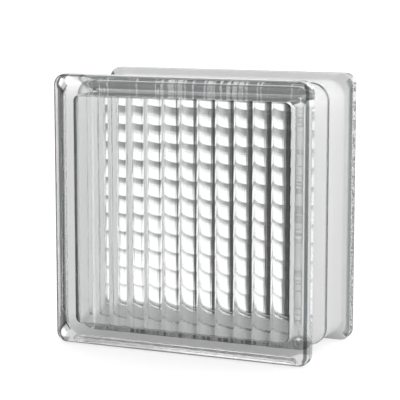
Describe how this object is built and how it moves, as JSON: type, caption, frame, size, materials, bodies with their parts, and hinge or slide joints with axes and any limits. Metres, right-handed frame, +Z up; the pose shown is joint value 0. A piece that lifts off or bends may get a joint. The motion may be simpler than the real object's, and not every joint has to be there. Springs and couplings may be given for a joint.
{
  "type": "glass block",
  "caption": "Hollow square building block of clear pressed glass with crossed flutes inside its two panes and a recessed mortar key round its sides.",
  "frame": {"origin": "on the ground, under the middle of the standing block", "axes": "+Z up; -Y out of the front pane with the upright flutes, +Y out of the rear pane with the level flutes; +X to the right seen from the front"},
  "size_m": [0.19, 0.1, 0.19],
  "materials": {
    "clear_glass": "clear, fire polished on the panes, satin on the recessed sides"
  },
  "bodies": {
    "root": {"front_shell": "clear_glass", "rear_shell": "clear_glass"}
  },
  "joints": []
}
